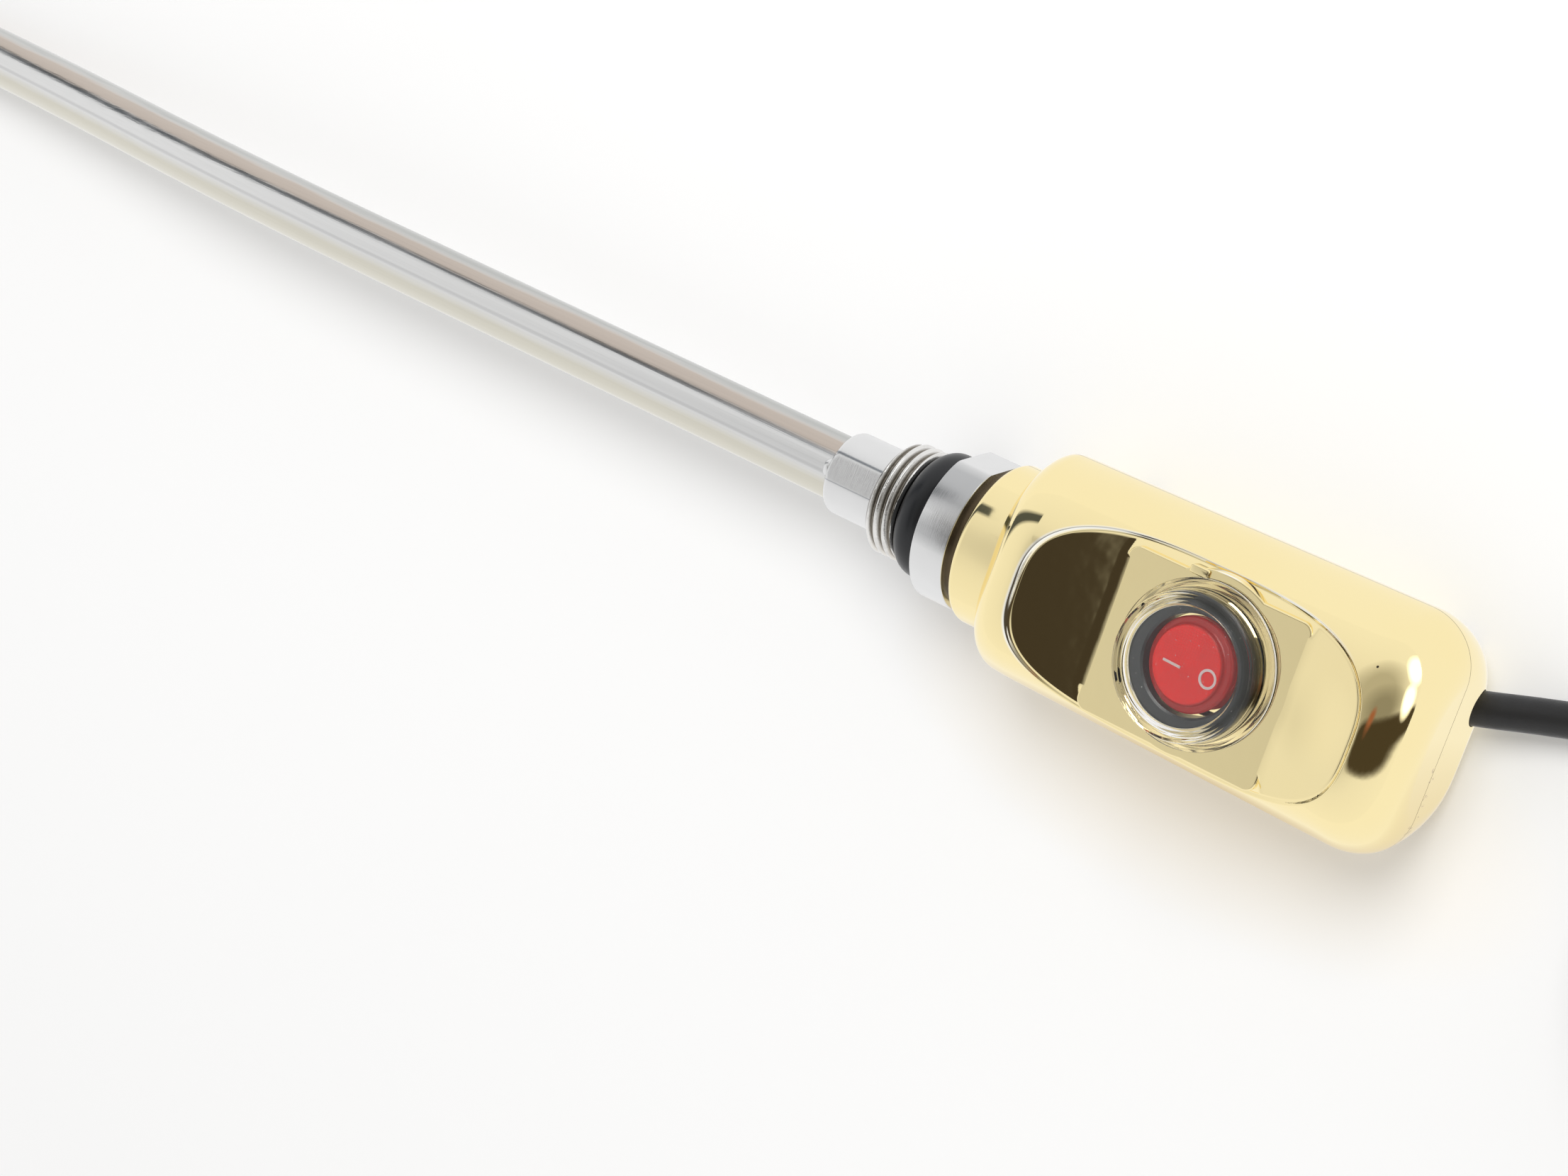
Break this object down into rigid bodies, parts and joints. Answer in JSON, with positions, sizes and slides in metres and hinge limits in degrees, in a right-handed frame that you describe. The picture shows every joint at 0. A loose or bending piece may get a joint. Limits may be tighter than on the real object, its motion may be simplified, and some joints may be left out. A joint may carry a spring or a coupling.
{
  "type": "screw-in immersion heater",
  "caption": "Metal heating rod with a threaded plug and seal ring, screwed to a gold moulded housing with a red rocker under a clear cap, and a black mains lead.",
  "frame": {"origin": "centre of the collar's sealing face, on the axis of the pipe thread", "axes": "+X from the rod to the housing and the lead, along the thread's axis; +Z out of the switch; +Y completes a right-handed frame; the housing lies on its flat back"},
  "size_m": [0.643, 0.0606, 0.037],
  "materials": {
    "polished_steel": "polished, faint heat tint",
    "magnesia": "packed powder",
    "heating_wire": "drawn",
    "ceramic_core": "matt",
    "tinned_steel": "plated",
    "sealant": "silicone",
    "plated_plug": "turned and plated",
    "black_rubber": "satin",
    "gold_plating": "champagne gold metallised, mirror gloss",
    "charcoal_plastic": "glossy",
    "red_rocker": "translucent gloss",
    "lamp_glass": "clear",
    "clear_cap": "clear, soft",
    "phenolic": "moulded",
    "brown_wire": "satin",
    "red_wire": "satin",
    "blue_wire": "satin",
    "green_wire": "satin",
    "brass_tag": "stamped",
    "white_plastic": "moulded",
    "black_pvc": "satin sheath",
    "strap_fabric": "woven strap",
    "black_moulding": "satin",
    "pin_metal": "nickel plated"
  },
  "bodies": {
    "heater": {"rod_sheath": "polished_steel", "magnesia_fill": "magnesia", "resistance_winding": "heating_wire", "winding_core": "ceramic_core", "terminal_pins": "tinned_steel", "end_seal": "sealant", "threaded_plug": "plated_plug", "o_ring": "black_rubber", "front_shell": "gold_plating", "rear_shell": "gold_plating", "shell_screws": "tinned_steel", "switch_body": "charcoal_plastic", "indicator_lamp": "lamp_glass", "switch_terminals": "tinned_steel", "waterproof_cap": "clear_cap", "thermal_cutout": "phenolic", "live_lead": "brown_wire", "heater_lead": "red_wire", "neutral_lead": "blue_wire", "earth_lead": "green_wire", "earth_tag": "brass_tag", "earth_screw": "tinned_steel", "cord_clamp": "white_plastic", "clamp_screws": "tinned_steel", "cable_grommet": "black_rubber", "supply_cord": "black_pvc", "cord_coil": "black_pvc", "coil_tie": "strap_fabric", "tail_cord": "black_pvc", "plug_body": "black_moulding", "plug_pins": "pin_metal", "earth_contacts": "pin_metal"},
    "rocker": {"rocker": "red_rocker"}
  },
  "joints": [
    {"name": "rocker_tilt", "type": "hinge", "parent": "heater", "child": "rocker", "pos_m": [0.0572, 0, 0.0141], "axis": [0, 1, 0], "range_deg": [0, 14]}
  ]
}
